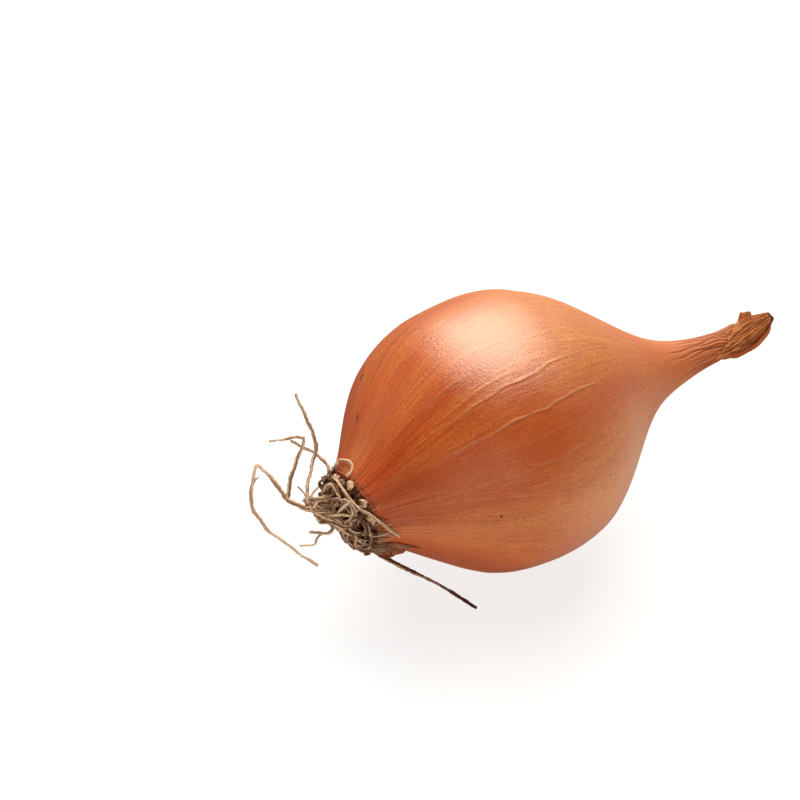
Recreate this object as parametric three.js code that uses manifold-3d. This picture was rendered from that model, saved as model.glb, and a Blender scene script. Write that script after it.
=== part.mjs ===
// A shallot lying on its side: the swollen bulb in its copper skin, the dried end of the
// neck, the torn edge of the outer skin and the tuft of dried roots.
// Millimetres, +Z up, +X from the roots to the neck. The origin is the middle of the small
// flat spot that the bulb lies on.
import * as THREE from 'three';
import { mergeVertices } from 'three/addons/utils/BufferGeometryUtils.js';
import Module from 'manifold-3d';

// ---- driving dimensions ------------------------------------------------------------------

// Middle line of the bulb and its radius there: x, y, z, r. The first row is the root end,
// the last one the pinched neck where the dried end begins.
const BODY = [
  [-27.6, -5.1, 22.2, 7.1],
  [-24.7, -4.5, 22.33, 8.6],
  [-21.9, -3.87, 22.46, 11.24],
  [-19, -3.2, 22.6, 14.15],
  [-16.1, -2.49, 22.69, 16.66],
  [-13.3, -1.77, 22.7, 18.85],
  [-10.4, -1.09, 22.66, 20.7],
  [-7.5, -0.5, 22.57, 21.93],
  [-4.7, -0.07, 22.47, 22.56],
  [-1.8, 0.14, 22.4, 22.84],
  [1.1, 0.17, 22.41, 22.87],
  [3.9, 0.12, 22.52, 22.67],
  [6.8, 0.04, 22.74, 22.17],
  [9.7, 0, 23.02, 21.23],
  [12.5, 0, 23.32, 19.74],
  [15.4, 0, 23.58, 17.65],
  [18.3, 0, 23.76, 15],
  [21.1, 0, 23.87, 12.2],
  [24, 0, 23.9, 9.4],
  [26.9, 0, 23.84, 7],
  [29.7, 0, 23.74, 5.3],
  [32.6, 0, 23.69, 4.1],
  [35.5, 0, 23.75, 3.28],
  [38.3, 0, 23.88, 2.72],
  [41.2, 0, 24, 2.42],
];
const BODY_COLUMNS = 56; // faces round the bulb
const BODY_ROWS_PER_STATION = 2;
const PEG_RADIUS = 1.3; // core of the neck, held in the dried end
const PEG_LENGTH = 1.8;

// Lengthwise relief: broad lobes of the inner leaves, and the pleats of the drying neck.
const LOBES = [[3, 0.1, 0.6], [5, 0.07, 2.1], [8, 0.04, 4]]; // count, height, turn
const PLEATS = 14;
const PLEAT_START = 22; // x where the pleats begin
const PLEAT_FULL = 37; // x where they are full depth
const PLEAT_DEPTH = 0.34;

// Dried end of the neck: x, y, z, half width, half thickness of the flattened sheath.
const TIP = [
  [41.1, 0, 24, 2.5, 2.45],
  [42.3, 0, 23.85, 2.4, 2.25],
  [43.4, 0, 23.6, 2.42, 2.05],
  [44.8, 0, 23.68, 2.5, 1.9],
  [46.1, 0, 23.95, 2.55, 1.8],
  [47.5, 0, 24.35, 2.42, 1.65],
  [48.7, 0, 24.8, 2.18, 1.5],
  [50, 0, 25.25, 1.76, 1.3],
  [51, 0, 25.75, 1.3, 1.1],
  [51.8, 0, 26.35, 0.92, 0.85],
  [52.3, 0, 26.9, 0.62, 0.6],
];
const TIP_COLUMNS = 32;
const TIP_RIDGES = 9;
const TIP_RIDGE_DEPTH = 0.16;
const SLIT_DEPTH = 0.55; // groove along the edge where the outer sheath laps the inner one
const STRIP = { at: 5.95, length: 1.9, height: 1.5, thickness: 0.7, lean: 0.42 }; // torn strip on the upper edge
const GAP = 0.3; // clearance between neighbouring pieces

// Torn edge of the outer skin round the root end, let into the bulb so that it lies flush.
const COLLAR_RECESS = 0.7;
const COLLAR_THICKNESS = 0.6;
const COLLAR_COLUMNS = 48;
const COLLAR_MIN = 0.8; // shortest and longest shreds, measured along the bulb
const COLLAR_MAX = 2.3;
const FLAP = { angle: 4.36, spread: 0.34, length: 4.3, lift: 0.4 }; // the one big torn flap

// Root plate and its roots.
const PLATE_RADIUS = 6.8;
const PLATE_HEIGHT = 1.5;
const MATTED_ROOTS = 21; // lying across the plate in a tangle
const BUNDLED_ROOTS = 7; // drawn together into one point beside it
const BUNDLE = [-34.3, -5, 24];
const SHORT_ROOT_RADIUS = 0.42;
const STUBS = 11; // roots cut short, standing round the rim of the plate
const STUB_RADIUS = 0.72;
const LONG_ROOT_RADIUS = 0.36;

// The long roots, each by the points that it passes through, from its base to its tip.
const LONG_ROOTS = [
  // down past the belly, straight, with its tip just above the ground
  [[-28.8, -5.6, 22.2], [-31.6, -7.1, 23.4], [-31.3, -10, 24.2], [-28.6, -12.9, 22], [-25.4, -12.9, 18], [-21.9, -12.9, 13.2], [-16.7, -13.9, 7.5], [-10.9, -16, 0.9]],
  // the wide loop: out, up to a kink and back down
  [[-28.8, -4.8, 22.6], [-32.7, -4.4, 23.5], [-35.1, -3.8, 24.6], [-37.4, -1.8, 26], [-38.2, 0.7, 27.6], [-39.2, 3, 28.8], [-39.8, 3.9, 29.2], [-41, 2.8, 28], [-42.1, 1.3, 26.1], [-42.5, 0.2, 24.6], [-42.1, -1.1, 23.4], [-41.1, -3.2, 21.4], [-39.6, -4.7, 20.2], [-37.6, -7, 18.2], [-35.5, -9, 16.6]],
  // up from the loop, with a sharp bend at its top
  [[-37.3, -1.9, 25.9], [-36.1, -0.1, 27.5], [-34.4, 1.6, 29], [-32.7, 3.1, 30.2], [-31.6, 4.2, 31.1], [-32.5, 4.6, 31.6], [-34.5, 4.9, 31.8], [-37.2, 5.5, 31.8]],
  // straight up beside the shoulder
  [[-28.8, -4.6, 22.4], [-32.4, -4.9, 23.1], [-34.5, -3.6, 24.7], [-34, -1.9, 26.5], [-32.4, 0.1, 28.4], [-30.4, 2.4, 30.5], [-30.3, 3.6, 32], [-30.5, 5.3, 33.9], [-31.1, 8.4, 37.3]],
  // leaning away over the far side
  [[-29.7, -1, 24.7], [-28.9, 1.6, 26.1], [-29.6, 3.7, 27], [-31.1, 5.3, 27.8], [-33.1, 6.8, 29.1]],
  // low crooked root with its side branch
  [[-28.8, -5.2, 22.6], [-32, -5.1, 23.1], [-32.2, -6.6, 22.8], [-32.5, -7.7, 22.3], [-33.6, -7.9, 22.1], [-34.8, -7.4, 22.6], [-36.2, -6.9, 22.8]],
  [[-34.2, -7.7, 22.3], [-35.2, -8, 22.1], [-36.1, -8.5, 21.4], [-38.3, -7.7, 21.5]],
  // over the shoulder towards the belly
  [[-29.3, -2.6, 25], [-30, -2.9, 26.2], [-29.4, -5.3, 26.8], [-28.9, -8.1, 26.9], [-28.2, -10.4, 26.6], [-26.6, -12.6, 25.9], [-23.7, -13.9, 22.7]],
  // the small curl on the upper rim
  [[-29.9, -1.4, 25.6], [-28.6, 0.2, 28.4], [-27.4, -1.7, 30], [-27, -2.9, 30.5], [-27.5, -4.4, 30.3], [-28.2, -3.5, 28.6]],
];

// ---- small tools -------------------------------------------------------------------------

// Smooth curve through equally numbered rows; t runs from 0 to the last row's number.
function smooth(rows, t) {
  const k = Math.min(Math.max(Math.floor(t), 0), rows.length - 2);
  const w = t - k;
  const at = (i) => rows[Math.min(Math.max(i, 0), rows.length - 1)];
  const [a, b, c, d] = [at(k - 1), at(k), at(k + 1), at(k + 2)];
  return b.map((_, i) => 0.5 * (2 * b[i] + (c[i] - a[i]) * w
    + (2 * a[i] - 5 * b[i] + 4 * c[i] - d[i]) * w * w
    + (3 * b[i] - a[i] - 3 * c[i] + d[i]) * w * w * w));
}

// Repeatable number from 0 to 1 for the i-th draw of a series.
function chance(i, series) {
  const v = Math.sin(i * 12.9898 + series * 78.233) * 43758.5453;
  return v - Math.floor(v);
}

const ramp = (x, from, to) => THREE.MathUtils.smoothstep(x, from, to);
const wrap = (a) => Math.atan2(Math.sin(a), Math.cos(a));

// Shared corners merged and faces without area dropped, so the shape is one closed mesh.
function closed(geometry) {
  geometry.deleteAttribute('normal');
  geometry.deleteAttribute('uv');
  const merged = mergeVertices(geometry, 1e-4);
  const index = [];
  for (let i = 0; i < merged.index.count; i += 3) {
    const [a, b, c] = [0, 1, 2].map((k) => merged.index.getX(i + k));
    if (a !== b && b !== c && a !== c) index.push(a, b, c);
  }
  merged.setIndex(index);
  let volume = 0;
  const [p, q, r] = [new THREE.Vector3(), new THREE.Vector3(), new THREE.Vector3()];
  for (let i = 0; i < index.length; i += 3) {
    p.fromBufferAttribute(merged.attributes.position, index[i]);
    q.fromBufferAttribute(merged.attributes.position, index[i + 1]);
    r.fromBufferAttribute(merged.attributes.position, index[i + 2]);
    volume += p.dot(q.cross(r)) / 6;
  }
  if (volume < 0) merged.setIndex(index.reverse());
  return merged;
}

// Closed skin of `rows` rings of `columns` corners: place(row, angle) gives each corner, and
// the first and last rows are single points.
function wrapped(rows, columns, place) {
  const profile = Array.from({ length: rows }, (_, j) => new THREE.Vector2(j === 0 || j === rows - 1 ? 0 : 1, j));
  const geometry = new THREE.LatheGeometry(profile, columns);
  for (let i = 0; i <= columns; i += 1) {
    for (let j = 0; j < rows; j += 1) {
      const point = place(j, ((i % columns) / columns) * 2 * Math.PI);
      geometry.attributes.position.setXYZ(i * rows + j, point.x, point.y, point.z);
    }
  }
  return closed(geometry);
}

// Tapering round bar along a curve, made straight and then laid along it.
function bar(points, startRadius, endRadius, sides, steps) {
  const curve = new THREE.CatmullRomCurve3(points, false, 'catmullrom', 0.5);
  const frames = curve.computeFrenetFrames(steps, false);
  const section = new THREE.Shape(Array.from({ length: sides }, (_, i) => {
    const a = (i / sides) * 2 * Math.PI;
    return new THREE.Vector2(Math.cos(a), Math.sin(a));
  }));
  const geometry = new THREE.ExtrudeGeometry(section, { steps, depth: 1, bevelEnabled: false });
  const position = geometry.attributes.position;
  for (let i = 0; i < position.count; i += 1) {
    const k = Math.round(position.getZ(i) * steps);
    const radius = THREE.MathUtils.lerp(startRadius, endRadius, k / steps);
    const point = curve.getPointAt(k / steps)
      .addScaledVector(frames.normals[k], radius * position.getX(i))
      .addScaledVector(frames.binormals[k], radius * position.getY(i));
    position.setXYZ(i, point.x, point.y, point.z);
  }
  return closed(geometry);
}

const wasm = await Module();
wasm.setup();

function solid(geometry) {
  return new wasm.Manifold(new wasm.Mesh({
    numProp: 3,
    vertProperties: new Float32Array(geometry.attributes.position.array),
    triVerts: new Uint32Array(geometry.index.array),
  }));
}

function fromSolid(manifold) {
  const { vertProperties, triVerts } = manifold.getMesh();
  const geometry = new THREE.BufferGeometry();
  geometry.setAttribute('position', new THREE.BufferAttribute(vertProperties, 3));
  geometry.setIndex(new THREE.BufferAttribute(triVerts, 1));
  return geometry;
}

// ---- the bulb's own frame ----------------------------------------------------------------

// Middle point, directions along, sideways (+Y) and upwards, and plain radius at station t.
function station(t) {
  const [x, y, z, r] = smooth(BODY, t);
  const [ahead, behind] = [smooth(BODY, t + 0.01), smooth(BODY, t - 0.01)];
  const along = new THREE.Vector3(ahead[0] - behind[0], ahead[1] - behind[1], ahead[2] - behind[2]).normalize();
  const side = new THREE.Vector3(0, 0, 1).cross(along).normalize();
  const upward = along.clone().cross(side);
  return { middle: new THREE.Vector3(x, y, z), along, side, upward, r };
}

// Height of the relief at x and angle; the pleats fade in towards the neck.
function relief(x, angle) {
  const belly = ramp(x, -26, -14) * (1 - ramp(x, 16, 30));
  let height = 0;
  for (const [count, size, turn] of LOBES) height += belly * size * Math.cos(count * angle + turn);
  const pleat = PLEAT_DEPTH * ramp(x, PLEAT_START, PLEAT_FULL);
  height -= COLLAR_RECESS * (1 - ramp(x, -26.6, -23.4));
  return height + pleat * (0.5 * Math.cos(PLEATS * angle) + 0.22 * Math.cos(3 * angle + 1));
}

// Point of the bulb's skin at station t, with `lift` added to its radius.
function skin(t, angle, lift = 0) {
  const s = station(t);
  const radius = s.r + relief(s.middle.x, angle) + lift;
  return s.middle.clone()
    .addScaledVector(s.side, radius * Math.cos(angle))
    .addScaledVector(s.upward, radius * Math.sin(angle));
}

const LAST = BODY.length - 1;

// ---- bulb --------------------------------------------------------------------------------

function buildBulb() {
  const rows = [];
  const root = station(0);
  const neck = station(LAST);
  const ring = (s, offset, radius) => (angle) => s.middle.clone()
    .addScaledVector(s.along, offset)
    .addScaledVector(s.side, radius * Math.cos(angle))
    .addScaledVector(s.upward, radius * Math.sin(angle));
  rows.push(ring(root, -0.35, 0), ring(root, -0.3, 0.75 * root.r));
  const count = LAST * BODY_ROWS_PER_STATION;
  for (let k = 0; k <= count; k += 1) rows.push((angle) => skin((k / count) * LAST, angle));
  rows.push(ring(neck, 0.05, PEG_RADIUS), ring(neck, PEG_LENGTH, PEG_RADIUS), ring(neck, PEG_LENGTH, 0));
  const body = wrapped(rows.length, BODY_COLUMNS, (j, angle) => rows[j](angle));
  const aboveGround = new THREE.BoxGeometry(120, 80, 60).translate(0, 0, 30);
  return fromSolid(solid(body).intersect(solid(closed(aboveGround))));
}

// ---- dried end of the neck ---------------------------------------------------------------

function tipPoint(t, angle, inset = 0) {
  const [x, y, z, width, thickness] = smooth(TIP, t);
  const [ahead, behind] = [smooth(TIP, t + 0.01), smooth(TIP, t - 0.01)];
  const along = new THREE.Vector3(ahead[0] - behind[0], ahead[1] - behind[1], ahead[2] - behind[2]).normalize();
  const wide = new THREE.Vector3(-0.31, -0.64, 0.71).cross(along).normalize();
  const flat = along.clone().cross(wide);
  const fade = ramp(t, 0.2, 1.2);
  const ridge = TIP_RIDGE_DEPTH * Math.cos(TIP_RIDGES * angle + 0.5 * t) * (1 - 0.6 * ramp(t, 7, 10));
  const slit = SLIT_DEPTH * fade * Math.exp(-((wrap(angle - 2.945) / 0.14) ** 2)) * (1 - ramp(t, 8.5, 10));
  const lump = 0.11 * Math.sin(1.7 * t + 2 * angle) * fade;
  const a = Math.max(width + ridge - slit + lump - inset, 0.1);
  const b = Math.max(thickness + ridge - slit + lump - inset, 0.1);
  return new THREE.Vector3(x, y, z)
    .addScaledVector(wide, a * Math.cos(angle))
    .addScaledVector(flat, b * Math.sin(angle));
}

function buildTip() {
  const last = TIP.length - 1;
  const steps = 20;
  const middle = (t) => { const [x, y, z] = smooth(TIP, t); return new THREE.Vector3(x, y, z); };
  const sheath = wrapped(steps + 3, TIP_COLUMNS, (j, angle) => {
    if (j === 0) return middle(0);
    if (j === steps + 2) return middle(last);
    return tipPoint(((j - 1) / steps) * last, angle);
  });
  // a torn strip standing up from the upper edge
  const edge = tipPoint(STRIP.at, 0);
  const up = edge.clone().sub(middle(STRIP.at)).normalize();
  const along = middle(STRIP.at + 0.5).sub(middle(STRIP.at - 0.5)).normalize();
  const strip = new THREE.BoxGeometry(STRIP.length, 2 * STRIP.height, STRIP.thickness, 2, 2, 1)
    .rotateZ(-STRIP.lean)
    .applyMatrix4(new THREE.Matrix4().makeBasis(along, up, along.clone().cross(up)).setPosition(edge));
  const neck = station(LAST);
  // room for the end of the neck and for the peg on it
  const room = (length, radius) => solid(bar([
    neck.middle.clone().addScaledVector(neck.along, -3),
    neck.middle.clone().addScaledVector(neck.along, length + GAP),
  ], radius, radius, 16, 1));
  return fromSolid(solid(sheath).add(solid(closed(strip)))
    .subtract(room(0, 4))
    .subtract(room(PEG_LENGTH, PEG_RADIUS + GAP)));
}

// ---- torn edge of the skin ---------------------------------------------------------------

// How far the torn edge reaches along the bulb at an angle, in mm.
function shred(angle) {
  const i = Math.round((angle / (2 * Math.PI)) * COLLAR_COLUMNS) % COLLAR_COLUMNS;
  const near = Math.exp(-((wrap(angle - FLAP.angle) / FLAP.spread) ** 2));
  const tooth = COLLAR_MIN + (COLLAR_MAX - COLLAR_MIN) * chance(i, 3) * (i % 2 ? 1 : 0.35);
  return { reach: Math.max(tooth, near * FLAP.length), lift: near * FLAP.lift };
}

function buildCollar() {
  const steps = 4;
  // one closed loop of rows: out along the inner face, back along the outer one
  const loop = [];
  for (let k = 0; k <= steps; k += 1) loop.push([k / steps, 0]);
  for (let k = steps; k >= 0; k -= 1) loop.push([k / steps, COLLAR_THICKNESS]);
  loop.push(loop[0]);
  const profile = loop.map((_, j) => new THREE.Vector2(2, j));
  const geometry = new THREE.LatheGeometry(profile, COLLAR_COLUMNS);
  for (let i = 0; i <= COLLAR_COLUMNS; i += 1) {
    const angle = ((i % COLLAR_COLUMNS) / COLLAR_COLUMNS) * 2 * Math.PI;
    const { reach, lift } = shred(angle);
    loop.forEach(([along, out], j) => {
      const t = 0.06 + (reach * along) / 2.9;
      const point = skin(t, angle, GAP + out + lift * along * along + 0.1 * along);
      geometry.attributes.position.setXYZ(i * loop.length + j, point.x, point.y, point.z);
    });
  }
  return closed(geometry);
}

// ---- root tuft ---------------------------------------------------------------------------

// Keeps a point of a root clear of the bulb and of the torn skin round it.
function clearOfBulb(point, margin) {
  let foot = station(0);
  if (point.clone().sub(foot.middle).dot(foot.along) < -0.4) return point;
  for (let t = 0.1; t <= 12; t += 0.1) {
    const next = station(t);
    if (point.clone().sub(next.middle).dot(next.along) < 0) break;
    foot = next;
  }
  const away = point.clone().sub(foot.middle);
  away.addScaledVector(foot.along, -away.dot(foot.along));
  const short = foot.r + margin - away.length();
  return short > 0 ? point.clone().addScaledVector(away.normalize(), short) : point;
}

function buildTuft() {
  const root = station(0);
  const out = root.along.clone().negate();
  const at = (offset, radius, angle) => root.middle.clone()
    .addScaledVector(out, offset)
    .addScaledVector(root.side, radius * Math.cos(angle))
    .addScaledVector(root.upward, radius * Math.sin(angle));
  const start = 0.35 + GAP;

  const dome = [[0, 0], [0, 0.9], [0.25, 1], [0.75, 0.86], [1, 0.5], [1.08, 0]];
  let tuft = solid(wrapped(dome.length, 20, (j, angle) => at(
    start + dome[j][0] * PLATE_HEIGHT,
    dome[j][1] * PLATE_RADIUS * (1 + 0.04 * Math.cos(5 * angle)),
    angle,
  )));

  // stubs round the upper and near rim, leaning outwards
  for (let i = 0; i < STUBS; i += 1) {
    const angle = -0.4 + ((i + 0.7 * chance(i, 11)) / STUBS) * 4.3;
    const length = 1.2 + 1.4 * chance(i, 12);
    const points = [
      at(start + 0.9, 0.72 * PLATE_RADIUS, angle),
      at(start + 1.2 + 0.4 * length, 0.9 * PLATE_RADIUS + 0.2 * length, angle),
      at(start + 1.1 + 0.8 * length, 0.9 * PLATE_RADIUS + 0.6 * length, angle + 0.1),
    ];
    const radius = STUB_RADIUS * (0.8 + 0.4 * chance(i, 13));
    tuft = tuft.add(solid(bar(points, radius, radius * 0.9, 6, 2)));
  }

  // dried roots matted across the plate, each rising a little and then lying over
  for (let i = 0; i < MATTED_ROOTS; i += 1) {
    const angle = i * 2.39996;
    const spread = 0.84 * PLATE_RADIUS * Math.sqrt((i + 0.5) / MATTED_ROOTS);
    const bend = 6.28 * chance(i, 21);
    const curl = 2.2 * (chance(i, 22) - 0.5);
    const stride = 1 + 0.9 * chance(i, 23);
    const rise = [-0.5, 1.1, 1.9 + 0.9 * chance(i, 24), 2.3 + 1.2 * chance(i, 25), 1.2 + 1.6 * chance(i, 26), 0.5 + 2.2 * chance(i, 27)];
    let [u, v] = [spread * Math.cos(angle), spread * Math.sin(angle)];
    const points = rise.map((height, k) => {
      if (k > 1) {
        u += stride * Math.cos(bend + curl * k);
        v += stride * Math.sin(bend + curl * k);
      }
      const over = Math.hypot(u, v) / PLATE_RADIUS;
      if (over > 1) { u /= over; v /= over; }
      const low = 1 - 0.7 * (Math.hypot(u, v) / PLATE_RADIUS) ** 2; // flatter towards the rim
      return at(start + 1 + height * (height > 0 ? low : 1), Math.hypot(u, v), Math.atan2(v, u));
    });
    tuft = tuft.add(solid(bar(points, SHORT_ROOT_RADIUS, SHORT_ROOT_RADIUS * 0.6, 4, 7)));
  }

  // dried roots that run together
  const bundle = new THREE.Vector3(...BUNDLE);
  for (let i = 0; i < BUNDLED_ROOTS; i += 1) {
    const angle = i * 2.39996 + 1;
    const base = at(start + 0.6, 0.7 * PLATE_RADIUS * Math.sqrt((i + 1) / BUNDLED_ROOTS), angle);
    const drift = new THREE.Vector3(chance(i, 31) - 0.5, chance(i, 32) - 0.5, chance(i, 33) - 0.5);
    const lift = base.clone().addScaledVector(out, 1.6).addScaledVector(drift, 0.8);
    const end = bundle.clone().addScaledVector(drift, 0.9);
    const middle = lift.clone().lerp(end, 0.55).addScaledVector(drift, 1);
    const past = end.clone().add(end.clone().sub(middle).multiplyScalar(0.5 * chance(i, 34)));
    tuft = tuft.add(solid(bar([base, lift, middle, end, past], SHORT_ROOT_RADIUS, SHORT_ROOT_RADIUS * 0.7, 4, 6)));
  }

  for (const way of LONG_ROOTS) {
    const points = way.map(([x, y, z]) => clearOfBulb(new THREE.Vector3(x, y, z), 1.5));
    const steps = way.length > 10 ? 20 : Math.round(way.length * 1.7);
    tuft = tuft.add(solid(bar(points, LONG_ROOT_RADIUS * 1.25, LONG_ROOT_RADIUS * 0.8, 5, steps)));
  }
  // trimmed to a clearance all round the bulb and its torn skin
  const stops = [0, 0.3, 0.6, 1, 1.15, 1.4, 1.7, 1.85];
  for (let t = 2; t <= 12; t += 0.5) stops.push(t);
  const clearance = wrapped(stops.length + 2, BODY_COLUMNS, (j, angle) => {
    if (j === 0) return at(0.35 + 0.9 * GAP, 0, 0);
    if (j === stops.length + 1) return station(12).middle;
    const t = stops[j - 1];
    const near = Math.abs(wrap(angle - FLAP.angle)) < 1.6 * FLAP.spread ? 1 : 0;
    const covered = t <= 1 + 0.7 * near ? COLLAR_THICKNESS + GAP + 0.1 + near * FLAP.lift : 0;
    return skin(t, angle, GAP + covered).addScaledVector(out, j === 1 ? 0.9 * GAP : 0);
  });
  return fromSolid(tuft.subtract(solid(clearance)));
}

// ---- the whole ---------------------------------------------------------------------------

function piece(name, geometry, color, roughness) {
  const mesh = new THREE.Mesh(geometry, new THREE.MeshStandardMaterial({ color, roughness, metalness: 0 }));
  mesh.name = name;
  return mesh;
}

const shallot = new THREE.Group();
shallot.add(piece('bulb', buildBulb(), '#b5673a', 0.4));
shallot.add(piece('neck_tip', buildTip(), '#9a5a2e', 0.8));
shallot.add(piece('skin_collar', buildCollar(), '#4a2a1e', 0.85));
shallot.add(piece('root_tuft', buildTuft(), '#a58d63', 0.9));

export default shallot;
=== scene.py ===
"""A shallot lying on its side on a pale table: copper skin with raised veins, the dried end
of the neck, the torn edge of the outer skin and the tuft of dried roots.

Shapes are worked out in millimetres in the part's own frame and go into the meshes in metres.
"""

import bpy
import numpy as np
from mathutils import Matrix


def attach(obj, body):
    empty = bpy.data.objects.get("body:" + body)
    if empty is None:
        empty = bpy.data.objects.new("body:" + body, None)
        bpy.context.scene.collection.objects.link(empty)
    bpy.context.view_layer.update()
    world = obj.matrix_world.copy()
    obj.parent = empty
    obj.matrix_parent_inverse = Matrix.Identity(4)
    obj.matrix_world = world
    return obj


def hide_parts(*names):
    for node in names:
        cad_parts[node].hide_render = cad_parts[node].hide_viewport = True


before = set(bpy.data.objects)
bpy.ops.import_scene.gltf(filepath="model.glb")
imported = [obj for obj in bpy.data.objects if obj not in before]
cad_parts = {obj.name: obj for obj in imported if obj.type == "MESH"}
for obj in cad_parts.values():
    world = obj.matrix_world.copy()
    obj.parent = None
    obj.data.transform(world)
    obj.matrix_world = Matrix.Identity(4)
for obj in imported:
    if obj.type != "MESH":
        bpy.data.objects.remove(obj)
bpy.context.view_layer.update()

# ---- camera, table and daylight ----------------------------------------------------------
# A white table under one large soft window high up on the far side, with weaker ones all
# round and pale walls. The camera looks down on the bulb from the side that shows both its
# roots and its neck.

MM = 0.001
AZIMUTH = -26.0  # degrees round +Z from looking along +Y
ELEVATION = 45.0
DISTANCE = 360.0
TARGET = np.array([-12.146, 9.976, 26.026])
LENS = 100.0
SENSOR = 36.0
DAYLIGHT = (1.0, 0.96, 0.9)
BULB_HEIGHT = 22.0  # the windows face the middle of the bulb
TABLE_SIZE = 30000.0
TABLE_DROP = 0.05  # keeps the table's surface just below the flat spot

turn, tilt = np.radians(AZIMUTH), np.radians(ELEVATION)
backward = np.array([np.sin(turn) * np.cos(tilt), -np.cos(turn) * np.cos(tilt), np.sin(tilt)])
rightward = np.array([np.cos(turn), np.sin(turn), 0.0])
upward = np.cross(backward, rightward)


def placed(right, up, back, at):
    """4 by 4 placement with three axes as its columns and a place in mm, given in metres."""
    matrix = np.eye(4)
    matrix[:3, 0], matrix[:3, 1], matrix[:3, 2] = right, up, back
    matrix[:3, 3] = np.asarray(at) * MM
    return [list(row) for row in matrix.T]


def unit(v):
    """Vectors of length 1 in the same directions."""
    return v / np.linalg.norm(v, axis=-1, keepdims=True)


def facing(at, target):
    """Placement at a point whose own -Z axis looks at a target."""
    back = unit(np.subtract(at, target))
    right = unit(np.cross([0.0, 0.0, 1.0], back))
    return placed(right, np.cross(back, right), back, at)


def from_hex(code):
    """sRGB hex to linear colour: ((c + 0.055) / 1.055) ^ 2.4, and c / 12.92 in the darks."""
    c = np.array([int(code[i:i + 2], 16) / 255 for i in (1, 3, 5)])
    linear = np.where(c <= 0.04045, c / 12.92, ((c + 0.055) / 1.055) ** 2.4)
    return (*linear.tolist(), 1.0)


def add(tree, kind, inputs=None, **settings):
    """Adds a shader node with its settings. inputs maps a socket's name or number to a value,
    or to the output socket that feeds it."""
    made = tree.nodes.new("ShaderNode" + kind)
    for name, value in settings.items():
        setattr(made, name, value)
    for socket, value in (inputs or {}).items():
        if isinstance(value, bpy.types.NodeSocket):
            tree.links.new(value, made.inputs[socket])
        else:
            made.inputs[socket].default_value = value
    return made


def math(tree, operation, first, second):
    """Two values added or multiplied."""
    return add(tree, "Math", {0: first, 1: second}, operation=operation).outputs[0]


def between(tree, value, low, high, to_low=0.0, to_high=1.0, interpolation="LINEAR"):
    """A value carried from one range to another and held at its ends."""
    made = add(tree, "MapRange", {"Value": value, "From Min": low, "From Max": high, "To Min": to_low,
                                  "To Max": to_high}, interpolation_type=interpolation)
    return made.outputs[0]


def mixed(tree, share, first, second):
    """Two colours mixed by a share."""
    return add(tree, "Mix", {0: share, 6: first, 7: second}, data_type="RGBA").outputs[2]


def new_material(name):
    """An empty node material; returns the material and its tree."""
    material = bpy.data.materials.new(name)
    material.use_nodes = True
    material.node_tree.nodes.clear()
    return material, material.node_tree


def surface(tree, inputs):
    """Gives a material's tree its shader and output."""
    shader = add(tree, "BsdfPrincipled", inputs)
    tree.links.new(shader.outputs[0], add(tree, "OutputMaterial").inputs["Surface"])


scene = bpy.context.scene
scene.view_settings.view_transform = "Standard"

camera = bpy.data.objects.new("camera", bpy.data.cameras.new("camera"))
camera.data.lens = LENS
camera.data.sensor_width = SENSOR
camera.data.clip_start = 0.01
scene.collection.objects.link(camera)
camera.matrix_world = placed(rightward, upward, backward, TARGET + DISTANCE * backward)
scene.camera = camera

# Each window: where it stands, its two sides, its power in watts and whether things shine
# in it; the back and fill windows are only soft glows.
WINDOWS = {
    "far_window": ((292.0, 655.0, 855.0), (950.0, 1300.0), 21.5, True),
    "roof_window": ((300.0, 50.0, 1050.0), (400.0, 800.0), 3.2, True),
    "side_window": ((1000.0, -300.0, 300.0), (500.0, 500.0), 0.25, True),
    "back_window": ((-720.0, 700.0, 330.0), (500.0, 400.0), 4.0, False),
    "fill_window": ((-350.0, -900.0, 300.0), (600.0, 500.0), 6.0, False),
}
for name, (at, size, power, shines) in WINDOWS.items():
    window = bpy.data.objects.new(name, bpy.data.lights.new(name, "AREA"))
    window.data.shape = "RECTANGLE"
    window.data.size, window.data.size_y = size[0] * MM, size[1] * MM
    window.data.energy = power
    window.data.color = DAYLIGHT
    window.visible_glossy = shines
    scene.collection.objects.link(window)
    window.matrix_world = facing(at, (0.0, 0.0, BULB_HEIGHT))

# The walls are pale at the far right and dark at the left and on the side that the camera
# stands on. What the bulb shines in below the horizon is bright on its right side only.
walls = bpy.data.worlds.new("pale_walls")
walls.use_nodes = True
tree = walls.node_tree
tree.nodes.clear()
direction = add(tree, "TexCoord").outputs["Generated"]
east, _, height = add(tree, "SeparateXYZ", {0: direction}).outputs
nearness = add(tree, "VectorMath", {0: direction, 1: tuple(backward)}, operation="DOT_PRODUCT").outputs[1]
wall = math(tree, "MULTIPLY", between(tree, nearness, -0.8, 0.4, 0.5, 0.07),
            between(tree, east, -0.45, 0.05, 0.1, 1.0))
below = between(tree, east, 0.15, 0.95, 0.1, 1.9, "SMOOTHSTEP")
above = between(tree, height, -0.5, -0.08)
paint = add(tree, "Background", {
    "Color": mixed(tree, above, (1.0, 0.97, 0.93, 1.0), (1.0, 0.86, 0.62, 1.0)),
    "Strength": add(tree, "Mix", {0: above, 2: below, 3: wall}).outputs[0],
})
tree.links.new(paint.outputs[0], add(tree, "OutputWorld").inputs["Surface"])
scene.world = walls

# Opal acrylic, lit from below: matt and white by its own light, so that shadows on it are faint.
opal, tree = new_material("opal_acrylic")
surface(tree, {"Base Color": from_hex("#8A8A8A"), "Roughness": 0.9, "Specular IOR Level": 0.1,
               "Emission Color": (1.0, 1.0, 1.0, 1.0), "Emission Strength": 0.76})

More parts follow.
